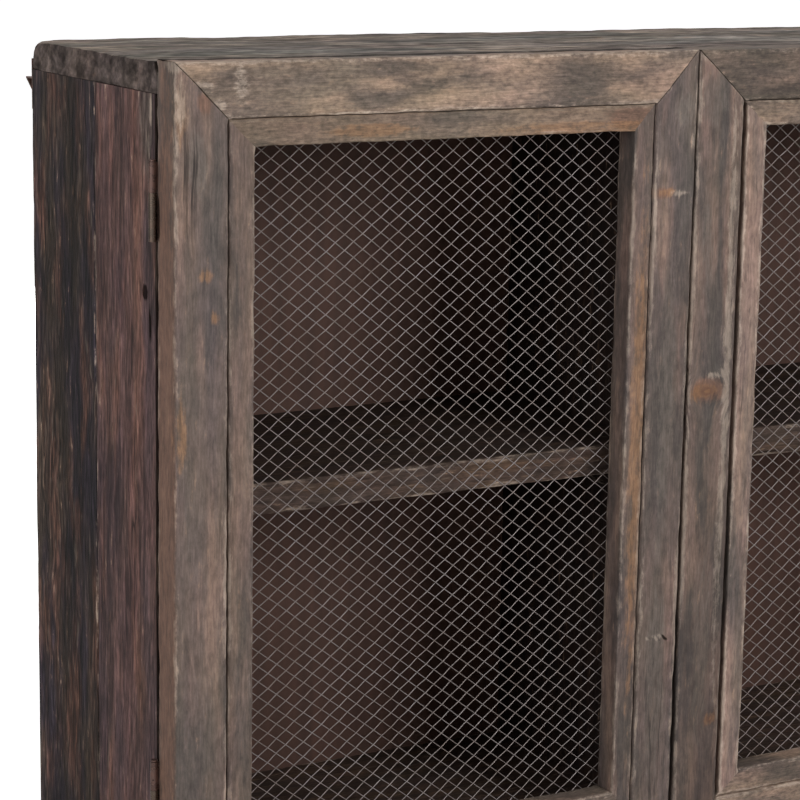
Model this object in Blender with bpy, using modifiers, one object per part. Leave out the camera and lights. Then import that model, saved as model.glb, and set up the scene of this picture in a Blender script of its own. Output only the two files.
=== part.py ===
"""A kitchen wall cabinet of old boards, with two doors of wire mesh in mitred frames.

X runs to the right, Y from the doors to the wall and Z up, in metres. The origin is the middle of
the back, where the cabinet meets the wall. The left door's side is -1 and the right door's is +1.
"""

import bmesh
import bpy
from mathutils import Vector

# The case of boards
CASE_WIDTH = 1.005
CASE_HEIGHT = 0.7325
CASE_DEPTH = 0.266
TOP_THICKNESS = 0.0245
TOP_CORNER_RADIUS = 0.012
FLOOR_THICKNESS = 0.030
SIDE_THICKNESS = 0.028
SIDE_FRONT_BOARD_WIDTH = 0.126
PARTITION_THICKNESS = 0.026
BACK_THICKNESS = 0.008
BOARD_EASE = 0.002
BACK_EASE = 0.0005

# The shelves and the cleats that carry them
SHELF_THICKNESS = 0.027
SHELF_CLEARANCE_BELOW = 0.325
SHELF_SETBACK = 0.009
CLEAT_WIDTH = 0.018
CLEAT_HEIGHT = 0.022
CLEAT_SETBACK = 0.030
CLEAT_EASE = 0.001

# The doors
DOOR_THICKNESS = 0.033
DOOR_SEAM = 0.001
DOOR_RISE = 0.0025
MEETING_GAP = 0.003
MEETING_FROM_MIDDLE = -0.005
HINGE_STILE_WIDTH = 0.0465
LEFT_MEETING_STILE_WIDTH = 0.0415
RIGHT_MEETING_STILE_WIDTH = 0.0505
RAIL_WIDTH = 0.045
FRAME_EASE = 0.0025
HINGE_BEAD_WIDTH = 0.0245
LEFT_MEETING_BEAD_WIDTH = 0.0205
RIGHT_MEETING_BEAD_WIDTH = 0.0255
RAIL_BEAD_WIDTH = 0.0227
BEAD_DEPTH = 0.024
BEAD_RECESS = 0.0025
BEAD_EASE = 0.0018

# The net: each diamond stands for three by three of the woven ones
DIAMOND_WIDTH = 0.051
DIAMOND_HEIGHT = 0.0393
WIRE_THICKNESS = 0.0016
NET_EDGE_CLEARANCE = 0.001

# The butt hinges
HINGE_LENGTH = 0.0635
HINGE_FROM_TOP = 0.080
HINGE_FROM_BOTTOM = 0.095
DOOR_KNUCKLE_LENGTH = 0.0245
KNUCKLE_RADIUS = 0.0033
BARREL_CLEARANCE = 0.0003
LEAF_WIDTH = 0.0255
LEAF_THICKNESS = 0.0014
LEAF_GAP = 0.0004
PIN_RADIUS = 0.0016
PIN_HEAD_RADIUS = 0.0028
PIN_HEAD_HEIGHT = 0.0015
ROUND_SIDES = 24

# The magnetic catches and their strike plates
CATCH_LENGTH = 0.040
CATCH_DEPTH = 0.016
CATCH_HEIGHT = 0.013
CATCH_FROM_MEETING = 0.072
CATCH_EASE = 0.001
STRIKE_LENGTH = 0.036
STRIKE_HEIGHT = 0.011
STRIKE_THICKNESS = 0.0015
STRIKE_EASE = 0.0003

# The wall hangers
HANGER_WIDTH = 0.014
HANGER_STRAP = 0.0014
HANGER_LENGTH = 0.044
HANGER_REACH = 0.015
HANGER_LOOP_HEIGHT = 0.011
HANGER_FROM_TOP = 0.032
HANGER_INSET = 0.001

# Between pieces that touch
FIT = 0.0003

# Places that follow from the sizes
SIDES = {"left": -1, "right": 1}
HALF_WIDTH = CASE_WIDTH / 2
CASE_TOP = CASE_HEIGHT / 2
CASE_BOTTOM = -CASE_HEIGHT / 2
CASE_FRONT = -CASE_DEPTH
CEILING = CASE_TOP - TOP_THICKNESS
FLOOR = CASE_BOTTOM + FLOOR_THICKNESS
INNER_WALL = HALF_WIDTH - SIDE_THICKNESS
BACK_FACE = -BACK_THICKNESS - FIT
SHELF_UNDERSIDE = FLOOR + SHELF_CLEARANCE_BELOW
DOOR_BACK = CASE_FRONT - DOOR_SEAM
DOOR_FRONT = DOOR_BACK - DOOR_THICKNESS
DOOR_TOP = CASE_TOP + DOOR_RISE
DOOR_BOTTOM = CASE_BOTTOM
HINGE_AXIS_X = HALF_WIDTH + KNUCKLE_RADIUS + BARREL_CLEARANCE
HINGE_AXIS_Y = CASE_FRONT - DOOR_SEAM / 2
MEETING_EDGES = {
    "left": MEETING_FROM_MIDDLE - MEETING_GAP / 2,
    "right": MEETING_FROM_MIDDLE + MEETING_GAP / 2,
}
MEETING_WIDTHS = {
    "left": (LEFT_MEETING_STILE_WIDTH, LEFT_MEETING_BEAD_WIDTH),
    "right": (RIGHT_MEETING_STILE_WIDTH, RIGHT_MEETING_BEAD_WIDTH),
}
HINGE_BOTTOMS = {
    "upper": DOOR_TOP - HINGE_FROM_TOP - HINGE_LENGTH,
    "lower": DOOR_BOTTOM + HINGE_FROM_BOTTOM,
}


def clear_scene():
    for thing in list(bpy.data.objects):
        bpy.data.objects.remove(thing)


def new_collection(name):
    collection = bpy.data.collections.new(name)
    bpy.context.scene.collection.children.link(collection)
    return collection


def finish(name, colour, roughness, metallic=0.0):
    """A plain material from linear red, green and blue."""
    material = bpy.data.materials.new(name)
    material.use_nodes = True
    shader = material.node_tree.nodes["Principled BSDF"]
    shader.inputs["Base Color"].default_value = (*colour, 1.0)
    shader.inputs["Roughness"].default_value = roughness
    shader.inputs["Metallic"].default_value = metallic
    return material


def add_part(name, mesh, material, centre=(0, 0, 0), pivot=None):
    """Puts a mesh in the cabinet, at a world position, carried by a door's pivot if it has one."""
    part = bpy.data.objects.new(name, mesh)
    part.location = centre
    if pivot:
        part.parent = pivot
        part.location = Vector(centre) - pivot.location
    mesh.materials.clear()
    mesh.materials.append(material)
    CABINET.objects.link(part)
    return part


def add_helper(mesh, centre=(0, 0, 0)):
    """A cutter, or a shape that is joined to a part, left out of the cabinet itself."""
    helper = bpy.data.objects.new("helper", mesh)
    helper.location = centre
    helper.hide_render = True
    helper.display_type = "WIRE"
    CUTTERS.objects.link(helper)
    return helper


def mesh_from(shape, name):
    bmesh.ops.recalc_face_normals(shape, faces=shape.faces)
    mesh = bpy.data.meshes.new(name)
    shape.to_mesh(mesh)
    shape.free()
    return mesh


def block(size):
    """A box of this size about the origin, as a bmesh."""
    shape = bmesh.new()
    bmesh.ops.create_cube(shape, size=1.0)
    bmesh.ops.scale(shape, vec=size, verts=shape.verts)
    return shape


def middle(*spans):
    return Vector([(low + high) / 2 for low, high in spans])


def lengths(*spans):
    return Vector([high - low for low, high in spans])


def on_side(side, near, far):
    """The span along X between two distances from the middle, on one side of the cabinet."""
    return tuple(sorted((side * near, side * far)))


def ease(part, width):
    """Rounds the arrises that saw and wear leave on a piece."""
    bevel = part.modifiers.new("ease", "BEVEL")
    bevel.width = width
    bevel.segments = 2
    bevel.limit_method = "ANGLE"


def boolean(part, operation, helper):
    modifier = part.modifiers.new(operation.lower(), "BOOLEAN")
    modifier.operation = operation
    modifier.solver = "EXACT"
    modifier.object = helper


def board(name, x, y, z, material, arris, pivot=None):
    """A sawn piece that fills these spans."""
    mesh = mesh_from(block(lengths(x, y, z)), name)
    part = add_part(name, mesh, material, middle(x, y, z), pivot)
    ease(part, arris)
    return part


def top_panel():
    """The plank over the whole case, with its two corners at the wall worn round."""
    x = (-HALF_WIDTH, HALF_WIDTH)
    y = (CASE_FRONT, 0)
    z = (CEILING, CASE_TOP)
    shape = block(lengths(x, y, z))
    uprights = [e for e in shape.edges if e.verts[0].co.y > 0 and e.verts[0].co.xy == e.verts[1].co.xy]
    bmesh.ops.bevel(shape, geom=uprights, offset=TOP_CORNER_RADIUS, segments=5, profile=0.5, affect="EDGES")
    part = add_part("top_panel", mesh_from(shape, "top_panel"), OLD_WOOD, middle(x, y, z))
    ease(part, BOARD_EASE)


def case():
    top_panel()
    between = (-INNER_WALL + FIT, INNER_WALL - FIT)
    below_top = CEILING - FIT
    inside_depth = (CASE_FRONT, BACK_FACE)
    board("floor_panel", between, inside_depth, (CASE_BOTTOM, FLOOR), OLD_WOOD, BOARD_EASE)
    board("back_panel", between, (-BACK_THICKNESS, 0), (CASE_BOTTOM, below_top), BACK_WOOD, BACK_EASE)
    half = PARTITION_THICKNESS / 2
    board("partition", (-half, half), inside_depth, (FLOOR + FIT, below_top), DARK_WOOD, BOARD_EASE)
    joint = CASE_FRONT + SIDE_FRONT_BOARD_WIDTH
    for label, side in SIDES.items():
        wall = on_side(side, INNER_WALL, HALF_WIDTH)
        height = (CASE_BOTTOM, below_top)
        front = board(f"{label}_side_front_board", wall, (CASE_FRONT, joint), height, OLD_WOOD, BOARD_EASE)
        board(f"{label}_side_rear_board", wall, (joint + FIT, 0), height, DARK_WOOD, BOARD_EASE)
        for bottom in HINGE_BOTTOMS.values():
            leaf_far_side = HINGE_AXIS_Y + LEAF_GAP / 2 + LEAF_THICKNESS + FIT
            let_in(front, side, bottom, (CASE_FRONT - DOOR_SEAM, leaf_far_side))


def let_in(part, side, bottom, y):
    """Cuts the shallow seat of a hinge leaf into a board."""
    x = on_side(side, HINGE_AXIS_X - LEAF_WIDTH - FIT, HINGE_AXIS_X)
    z = (bottom - FIT, bottom + HINGE_LENGTH + FIT)
    boolean(part, "DIFFERENCE", add_helper(mesh_from(block(lengths(x, y, z)), "seat"), middle(x, y, z)))


def shelves():
    depth = (CASE_FRONT + SHELF_SETBACK, BACK_FACE)
    cleat_depth = (CASE_FRONT + SHELF_SETBACK + CLEAT_SETBACK, BACK_FACE)
    height = (SHELF_UNDERSIDE, SHELF_UNDERSIDE + SHELF_THICKNESS)
    cleat_height = (SHELF_UNDERSIDE - FIT - CLEAT_HEIGHT, SHELF_UNDERSIDE - FIT)
    near = PARTITION_THICKNESS / 2 + FIT
    far = INNER_WALL - FIT
    for label, side in SIDES.items():
        board(f"{label}_shelf", on_side(side, near, far), depth, height, OLD_WOOD, BOARD_EASE)
        at_partition = on_side(side, near, near + CLEAT_WIDTH)
        at_side = on_side(side, far - CLEAT_WIDTH, far)
        board(f"{label}_partition_cleat", at_partition, cleat_depth, cleat_height, DARK_WOOD, CLEAT_EASE)
        board(f"{label}_side_cleat", at_side, cleat_depth, cleat_height, DARK_WOOD, CLEAT_EASE)


def saw(shape, corner, inner, centre):
    """Saws a bar off along the mitre from its outer to its inner corner and closes the cut."""
    away = (inner - corner).cross(Vector((0, 1, 0))).normalized()
    if away.dot(centre - corner) > 0:
        away.negate()
    everything = shape.verts[:] + shape.edges[:] + shape.faces[:]
    cut = bmesh.ops.bisect_plane(
        shape, geom=everything, plane_co=corner - away * FIT / 2, plane_no=away, clear_outer=True
    )
    rim = [item for item in cut["geom_cut"] if isinstance(item, bmesh.types.BMEdge)]
    bmesh.ops.edgeloop_fill(shape, edges=rim)


def inside(x, z, widths, clearance):
    """The spans that a frame of these widths leaves open, less a clearance all round."""
    on_left, on_right, level = widths
    return (
        (x[0] + on_left + clearance, x[1] - on_right - clearance),
        (z[0] + level + clearance, z[1] - level - clearance),
    )


def mitred_frame(names, x, y, z, widths, arris, pivot):
    """Four bars round a rectangle, mitred at its corners. The names run left, right, top, bottom, and
    the widths are those of the left bar, of the right bar and of the top and bottom bars."""
    (left, right), (bottom, top) = x, z
    on_left, on_right, level = widths
    parts = []
    for name, bar_x, bar_z in zip(
        names,
        ((left, left + on_left), (right - on_right, right), x, x),
        (z, z, (top - level, top), (bottom, bottom + level)),
    ):
        centre = middle(bar_x, y, bar_z)
        shape = block(lengths(bar_x, y, bar_z))
        for corner_x, inward_x in ((left, on_left), (right, -on_right)):
            for corner_z, inward_z in ((bottom, level), (top, -level)):
                if corner_x in bar_x and corner_z in bar_z:
                    corner = Vector((corner_x, centre.y, corner_z)) - centre
                    saw(shape, corner, corner + Vector((inward_x, 0, inward_z)), Vector())
        part = add_part(name, mesh_from(shape, name), OLD_WOOD, centre, pivot)
        ease(part, arris)
        parts.append(part)
    return parts


def net(name, x, y, z, pivot):
    """A sheet of diamonds, woven as two sets of crossing wires, that just fills these spans."""
    width, height = lengths(x, z)
    across = max(1, round(width / DIAMOND_WIDTH))
    up = max(1, round(height / DIAMOND_HEIGHT))
    reach = across + up
    shape = bmesh.new()
    bmesh.ops.create_grid(shape, x_segments=2 * reach, y_segments=2 * reach, size=reach)
    for vert in shape.verts:
        u, v, _ = vert.co
        vert.co = ((u - v) * width / across / 2, 0, (u + v) * height / up / 2)
    for edge, away in (
        ((0, 0, 0), (-1, 0, 0)),
        ((width, 0, 0), (1, 0, 0)),
        ((0, 0, 0), (0, 0, -1)),
        ((0, 0, height), (0, 0, 1)),
    ):
        everything = shape.verts[:] + shape.edges[:] + shape.faces[:]
        bmesh.ops.bisect_plane(
            shape, geom=everything, dist=WIRE_THICKNESS / 100, plane_co=edge, plane_no=away, clear_outer=True
        )
    part = add_part(name, mesh_from(shape, name), STEEL_WIRE, (x[0], sum(y) / 2, z[0]), pivot)
    wires = part.modifiers.new("wires", "WIREFRAME")
    wires.thickness = WIRE_THICKNESS
    wires.use_even_offset = False
    wires.use_boundary = True


def door(label, side):
    pivot = bpy.data.objects.new(f"{label}_door_pivot", None)
    pivot.location = (side * HINGE_AXIS_X, HINGE_AXIS_Y, DOOR_BOTTOM)
    CABINET.objects.link(pivot)
    x = tuple(sorted((MEETING_EDGES[label], side * HALF_WIDTH)))
    y = (DOOR_FRONT, DOOR_BACK)
    z = (DOOR_BOTTOM, DOOR_TOP)
    meeting_stile, meeting_bead = MEETING_WIDTHS[label]
    uprights = ("hinge", "meeting")
    stile_widths = (HINGE_STILE_WIDTH, meeting_stile)
    bead_widths = (HINGE_BEAD_WIDTH, meeting_bead)
    if side > 0:
        uprights, stile_widths, bead_widths = uprights[::-1], stile_widths[::-1], bead_widths[::-1]
    frame_widths = (*stile_widths, RAIL_WIDTH)
    stiles = [f"{label}_door_{upright}_stile" for upright in uprights]
    rails = [f"{label}_door_{level}_rail" for level in ("top", "bottom")]
    frame = mitred_frame(stiles + rails, x, y, z, frame_widths, FRAME_EASE, pivot)
    for bottom in HINGE_BOTTOMS.values():
        leaf_far_side = HINGE_AXIS_Y - LEAF_GAP / 2 - LEAF_THICKNESS - FIT
        let_in(frame[uprights.index("hinge")], side, bottom, (leaf_far_side, CASE_FRONT))

    bead_front = DOOR_FRONT + BEAD_RECESS
    bead_back = bead_front + BEAD_DEPTH
    bead_x, bead_z = inside(x, z, frame_widths, FIT)
    beads = [f"{label}_door_{place}_bead" for place in (*uprights, "top", "bottom")]
    bead_widths = (*bead_widths, RAIL_BEAD_WIDTH)
    mitred_frame(beads, bead_x, (bead_front, bead_back), bead_z, bead_widths, BEAD_EASE, pivot)

    net_x, net_z = inside(x, z, frame_widths, NET_EDGE_CLEARANCE)
    net_y = (bead_back + FIT, bead_back + FIT + WIRE_THICKNESS)
    net(f"{label}_door_mesh", net_x, net_y, net_z, pivot)
    return pivot


def rod(radius, length):
    """An upright cylinder that stands on the origin, as a mesh."""
    shape = bmesh.new()
    bmesh.ops.create_cone(
        shape, cap_ends=True, segments=ROUND_SIDES, radius1=radius, radius2=radius, depth=length
    )
    bmesh.ops.translate(shape, vec=(0, 0, length / 2), verts=shape.verts)
    return mesh_from(shape, "rod")


def box_mesh(x, y, z):
    shape = block(lengths(x, y, z))
    bmesh.ops.translate(shape, vec=middle(x, y, z), verts=shape.verts)
    return mesh_from(shape, "box")


def evaluated(part):
    """The finished mesh of an object, with its modifiers worked in."""
    graph = bpy.context.evaluated_depsgraph_get()
    return bpy.data.meshes.new_from_object(part.evaluated_get(graph))


def smooth(mesh):
    mesh.shade_smooth()
    mesh.set_sharp_from_angle(angle=0.6)
    return mesh


def leaf_mesh(side, facing, knuckle_z):
    """A hinge leaf with its rolled knuckle, about the foot of the pin. It lies towards facing along Y."""
    neck = KNUCKLE_RADIUS + FIT
    y = tuple(sorted((facing * LEAF_GAP / 2, facing * (LEAF_GAP / 2 + LEAF_THICKNESS))))
    plate = add_helper(box_mesh(on_side(-side, neck, LEAF_WIDTH), y, (0, HINGE_LENGTH)))
    low, high = knuckle_z
    bridge = add_helper(box_mesh(on_side(-side, 0, (neck + LEAF_WIDTH) / 2), y, knuckle_z))
    knuckle = add_helper(rod(KNUCKLE_RADIUS, high - low), (0, 0, low))
    bore = add_helper(rod(PIN_RADIUS + FIT, HINGE_LENGTH + 2 * PIN_RADIUS), (0, 0, -PIN_RADIUS))
    boolean(plate, "UNION", bridge)
    boolean(plate, "UNION", knuckle)
    boolean(plate, "DIFFERENCE", bore)
    mesh = evaluated(plate)
    for helper in (plate, bridge, knuckle, bore):
        bpy.data.objects.remove(helper)
    return smooth(mesh)


def pin_mesh():
    """A turned pin that stands on the foot of its hinge, with a flat head over the upper knuckle."""
    shank = HINGE_LENGTH + FIT
    profile = (
        (0, shank + PIN_HEAD_HEIGHT),
        (PIN_HEAD_RADIUS, shank + PIN_HEAD_HEIGHT),
        (PIN_HEAD_RADIUS, shank),
        (PIN_RADIUS, shank),
        (PIN_RADIUS, 0),
        (0, 0),
    )
    shape = bmesh.new()
    points = [shape.verts.new((radius, 0, height)) for radius, height in profile]
    for start, end in zip(points, points[1:]):
        shape.edges.new((start, end))
    outline = bpy.data.meshes.new("pin")
    shape.to_mesh(outline)
    shape.free()
    turned = add_helper(outline)
    screw = turned.modifiers.new("turn", "SCREW")
    screw.steps = ROUND_SIDES
    screw.render_steps = ROUND_SIDES
    screw.use_merge_vertices = True
    screw.merge_threshold = 0.00001
    mesh = evaluated(turned)
    bpy.data.objects.remove(turned)
    return smooth(mesh)


def hinges(label, side, pivot):
    """Two butt hinges: the upper knuckle turns with the door and stands on the case's."""
    split = HINGE_LENGTH - DOOR_KNUCKLE_LENGTH
    case_leaf = leaf_mesh(side, 1, (0, split - FIT / 2))
    door_leaf = leaf_mesh(side, -1, (split + FIT / 2, HINGE_LENGTH))
    pin = pin_mesh()
    for level, bottom in HINGE_BOTTOMS.items():
        foot = (side * HINGE_AXIS_X, HINGE_AXIS_Y, bottom)
        add_part(f"{label}_{level}_hinge_case_leaf", case_leaf, HINGE_STEEL, foot)
        add_part(f"{label}_{level}_hinge_door_leaf", door_leaf, HINGE_STEEL, foot, pivot)
        add_part(f"{label}_{level}_hinge_pin", pin, HINGE_STEEL, foot)


def catch(label, side, pivot):
    """A magnetic catch under the top, and the strike plate on the door's rail that it holds."""
    centre = MEETING_EDGES[label] + side * CATCH_FROM_MEETING
    strike_front = DOOR_BACK + FIT
    strike_back = strike_front + STRIKE_THICKNESS
    catch_y = (strike_back + FIT, strike_back + FIT + CATCH_DEPTH)
    catch_z = (CEILING - FIT - CATCH_HEIGHT, CEILING - FIT)
    strike_z = (sum(catch_z) - STRIKE_HEIGHT) / 2
    catch_x = (centre - CATCH_LENGTH / 2, centre + CATCH_LENGTH / 2)
    strike_x = (centre - STRIKE_LENGTH / 2, centre + STRIKE_LENGTH / 2)
    board(f"{label}_magnetic_catch", catch_x, catch_y, catch_z, CATCH_BODY, CATCH_EASE)
    strike_spans = (strike_x, (strike_front, strike_back), (strike_z, strike_z + STRIKE_HEIGHT))
    board(f"{label}_strike_plate", *strike_spans, HINGE_STEEL, STRIKE_EASE, pivot)


def ring(curve, points):
    """Adds a closed outline to a curve."""
    spline = curve.splines.new("POLY")
    spline.points.add(len(points) - 1)
    for point, (across, along) in zip(spline.points, points):
        point.co = (across, along, 0, 1)
    spline.use_cyclic_u = True


def hanger(label, side):
    """A strap on the back edge of the side, folded out to a pointed loop that a wall hook takes."""
    strap = HANGER_STRAP
    loop_top = CASE_TOP - HANGER_FROM_TOP
    plate_top = loop_top + (HANGER_LENGTH - HANGER_LOOP_HEIGHT) / 2
    fall = (HANGER_LOOP_HEIGHT - strap) / (HANGER_REACH - strap)
    slant = strap * (1 + fall**2) ** 0.5
    loop_foot = loop_top - HANGER_LOOP_HEIGHT + slant
    hole_reach = strap + (loop_top - strap - loop_foot) / fall
    outline = bpy.data.curves.new("hanger", "CURVE")
    outline.dimensions = "2D"
    outline.fill_mode = "BOTH"
    outline.extrude = HANGER_WIDTH / 2
    ring(
        outline,
        (
            (0, plate_top - HANGER_LENGTH),
            (strap, plate_top - HANGER_LENGTH),
            (strap, loop_top - HANGER_LOOP_HEIGHT),
            (HANGER_REACH, loop_top - strap),
            (HANGER_REACH, loop_top),
            (strap, loop_top),
            (strap, plate_top),
            (0, plate_top),
        ),
    )
    ring(outline, ((strap, loop_top - strap), (strap, loop_foot), (hole_reach, loop_top - strap)))
    drawn = bpy.data.objects.new("outline", outline)
    CUTTERS.objects.link(drawn)
    shape = bmesh.new()
    shape.from_mesh(evaluated(drawn))
    bpy.data.objects.remove(drawn)
    bmesh.ops.remove_doubles(shape, verts=shape.verts, dist=FIT / 10)
    for vert in shape.verts:
        along_y, along_z, along_x = vert.co
        vert.co = (along_x, along_y, along_z)
    centre_x = side * (HALF_WIDTH - HANGER_INSET - HANGER_WIDTH / 2)
    add_part(f"{label}_wall_hanger", mesh_from(shape, "hanger"), HINGE_STEEL, (centre_x, FIT, 0))


clear_scene()
CABINET = new_collection("kitchen_wall_cabinet")
CUTTERS = new_collection("cutters")
OLD_WOOD = finish("old_grey_brown_wood", (0.105, 0.078, 0.060), 0.72)
DARK_WOOD = finish("dark_old_wood", (0.048, 0.038, 0.037), 0.80)
BACK_WOOD = finish("brown_back_panel", (0.085, 0.052, 0.036), 0.70)
STEEL_WIRE = finish("grey_steel_wire", (0.32, 0.29, 0.27), 0.45, 0.9)
HINGE_STEEL = finish("dark_rusty_steel", (0.075, 0.052, 0.042), 0.55, 0.8)
CATCH_BODY = finish("brown_plastic", (0.060, 0.035, 0.022), 0.45)

case()
shelves()
for name, turn in SIDES.items():
    hinged = door(name, turn)
    hinges(name, turn, hinged)
    catch(name, turn, hinged)
    hanger(name, turn)
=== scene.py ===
"""The looks of a kitchen wall cabinet: worn old boards, mitred doors, woven wire and rusted hinges."""

import math
from functools import partial

import bmesh
import bpy
import numpy
from mathutils import Matrix, Vector


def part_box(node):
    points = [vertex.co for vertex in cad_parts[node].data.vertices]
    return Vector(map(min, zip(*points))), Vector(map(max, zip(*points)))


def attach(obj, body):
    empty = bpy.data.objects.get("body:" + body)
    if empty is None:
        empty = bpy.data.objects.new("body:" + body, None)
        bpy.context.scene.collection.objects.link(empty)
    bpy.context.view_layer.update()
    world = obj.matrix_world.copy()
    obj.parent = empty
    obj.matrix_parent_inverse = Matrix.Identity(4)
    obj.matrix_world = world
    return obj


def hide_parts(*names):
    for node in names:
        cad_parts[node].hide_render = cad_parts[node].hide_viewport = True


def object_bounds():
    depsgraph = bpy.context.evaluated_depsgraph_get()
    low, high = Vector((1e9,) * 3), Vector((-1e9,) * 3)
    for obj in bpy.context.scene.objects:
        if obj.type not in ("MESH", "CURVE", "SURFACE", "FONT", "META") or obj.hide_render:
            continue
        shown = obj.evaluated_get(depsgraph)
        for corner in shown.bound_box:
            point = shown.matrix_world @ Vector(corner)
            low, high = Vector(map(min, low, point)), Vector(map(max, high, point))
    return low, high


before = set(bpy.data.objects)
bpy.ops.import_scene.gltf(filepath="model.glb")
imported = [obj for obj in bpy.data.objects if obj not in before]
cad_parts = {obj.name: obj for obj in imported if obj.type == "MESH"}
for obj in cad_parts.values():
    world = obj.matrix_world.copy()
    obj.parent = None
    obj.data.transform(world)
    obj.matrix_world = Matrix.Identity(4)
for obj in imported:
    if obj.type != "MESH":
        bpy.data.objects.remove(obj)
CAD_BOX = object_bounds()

MM = 0.001
SIDES = {"left": -1, "right": 1}
X, Y, Z = (1, 0, 0), (0, 1, 0), (0, 0, 1)
LEFTWARD, FRONTWARD, DOWN = (-1, 0, 0), (0, -1, 0), (0, 0, -1)

# The camera stands to the left of the cabinet and a little above it, and looks down on it
CAMERA_PLACE = (-1.3288, -2.1175, 0.51625)
CAMERA_YAW, CAMERA_PITCH, CAMERA_ROLL = 29.57, 11.65, 0.96
CAMERA_LENS, SENSOR_WIDTH = 115.55, 36.0

# How finely the timbers are meshed across, through and along, and how far in from an arris its wear shows
ROW = 3 * MM
LEAST_ROWS = (12, 8, 12)
MOST_ROWS_ACROSS = 60
ARRIS_BAND = 7 * MM
# Arrises that turn by more degrees than this stay sharp
SHARP_ANGLE = 38

# The woven wire
DIAMOND_WIDTH, DIAMOND_HEIGHT = 17.0 * MM, 13.1 * MM
WIRE_DIAMETER, WIRE_WANDER = 0.9 * MM, 1.2 * MM


def linear(code):
    """The linear colour of an sRGB hex code."""
    shares = [int(code[start : start + 2], 16) / 255 for start in (1, 3, 5)]
    return (*[s / 12.92 if s <= 0.04045 else ((s + 0.055) / 1.055) ** 2.4 for s in shares], 1.0)


# Short names for nodes, and what the second word of a node's kind chooses
SHORT = {"Vector": "VectorMath", "Range": "MapRange", "Noise": "TexNoise", "Wave": "TexWave"}
SMOOTH = "Range SMOOTHSTEP"
CHOICES = {"Math": "operation", "Vector": "operation", "Range": "interpolation_type", "Mix": "data_type"}
FAMILIES = ("ShaderNode", "GeometryNode", "FunctionNode", "Node")


def feed(node, sockets):
    """Gives a node's sockets plain values or colours, or links them to the nodes and sockets that feed them."""
    for key, value in sockets.items():
        if isinstance(value, bpy.types.Node):
            value = next(output for output in value.outputs if output.enabled)
        if isinstance(value, bpy.types.NodeSocket):
            node.id_data.links.new(value, node.inputs[key])
        else:
            coloured = isinstance(value, str) and value.startswith("#")
            node.inputs[key].default_value = linear(value) if coloured else value


def add(tree, kind, *sockets, **settings):
    """Adds a node, such as a "Math ADD", with its settings. What its sockets take comes in their order
    or by their names. A noise's scale is 1000, and a wave's 314, over a size in millimetres."""
    name, _, choice = kind.partition(" ")
    if choice:
        settings[CHOICES[name]] = choice
    titles = (family + SHORT.get(name, name) for family in FAMILIES)
    made = tree.nodes.new(next(title for title in titles if hasattr(bpy.types, title)))
    for key, value in settings.items():
        setattr(made, key, value)
    named = sockets and isinstance(sockets[0], dict)
    order = [index for index, socket in enumerate(made.inputs) if socket.enabled]
    feed(made, sockets[0] if named else dict(zip(order, sockets)))
    return made


# What wear, damp, dirt and knots do to the wood's colour; the dirt colour also paints shade, and the bare wood a
# highlight
BARE_WOOD_AND_HIGHLIGHT = "#94867a"
OCHRE = "#8a6545"
UMBER = "#6e5346"
GREYED = "#5d554f"
GRIME_AND_SHADE_COLOUR = "#120d0b"
END_GRAIN = "#493f3d"
KNOT = "#5b3d29"
# How far the hue of patches spreads, from its least
HUE_SPREAD, LEAST_HUE = (0.24, 0.16, 0.24), (0.88, 0.92, 0.88)
MIDDLE = (0.5, 0.5, 0.5)


def new_material(name):
    """A new material, what adds nodes to it, and its shader."""
    material = bpy.data.materials.new(name)
    material.use_nodes = True
    tree = material.node_tree
    return material, partial(add, tree), tree.nodes["Principled BSDF"]


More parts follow.
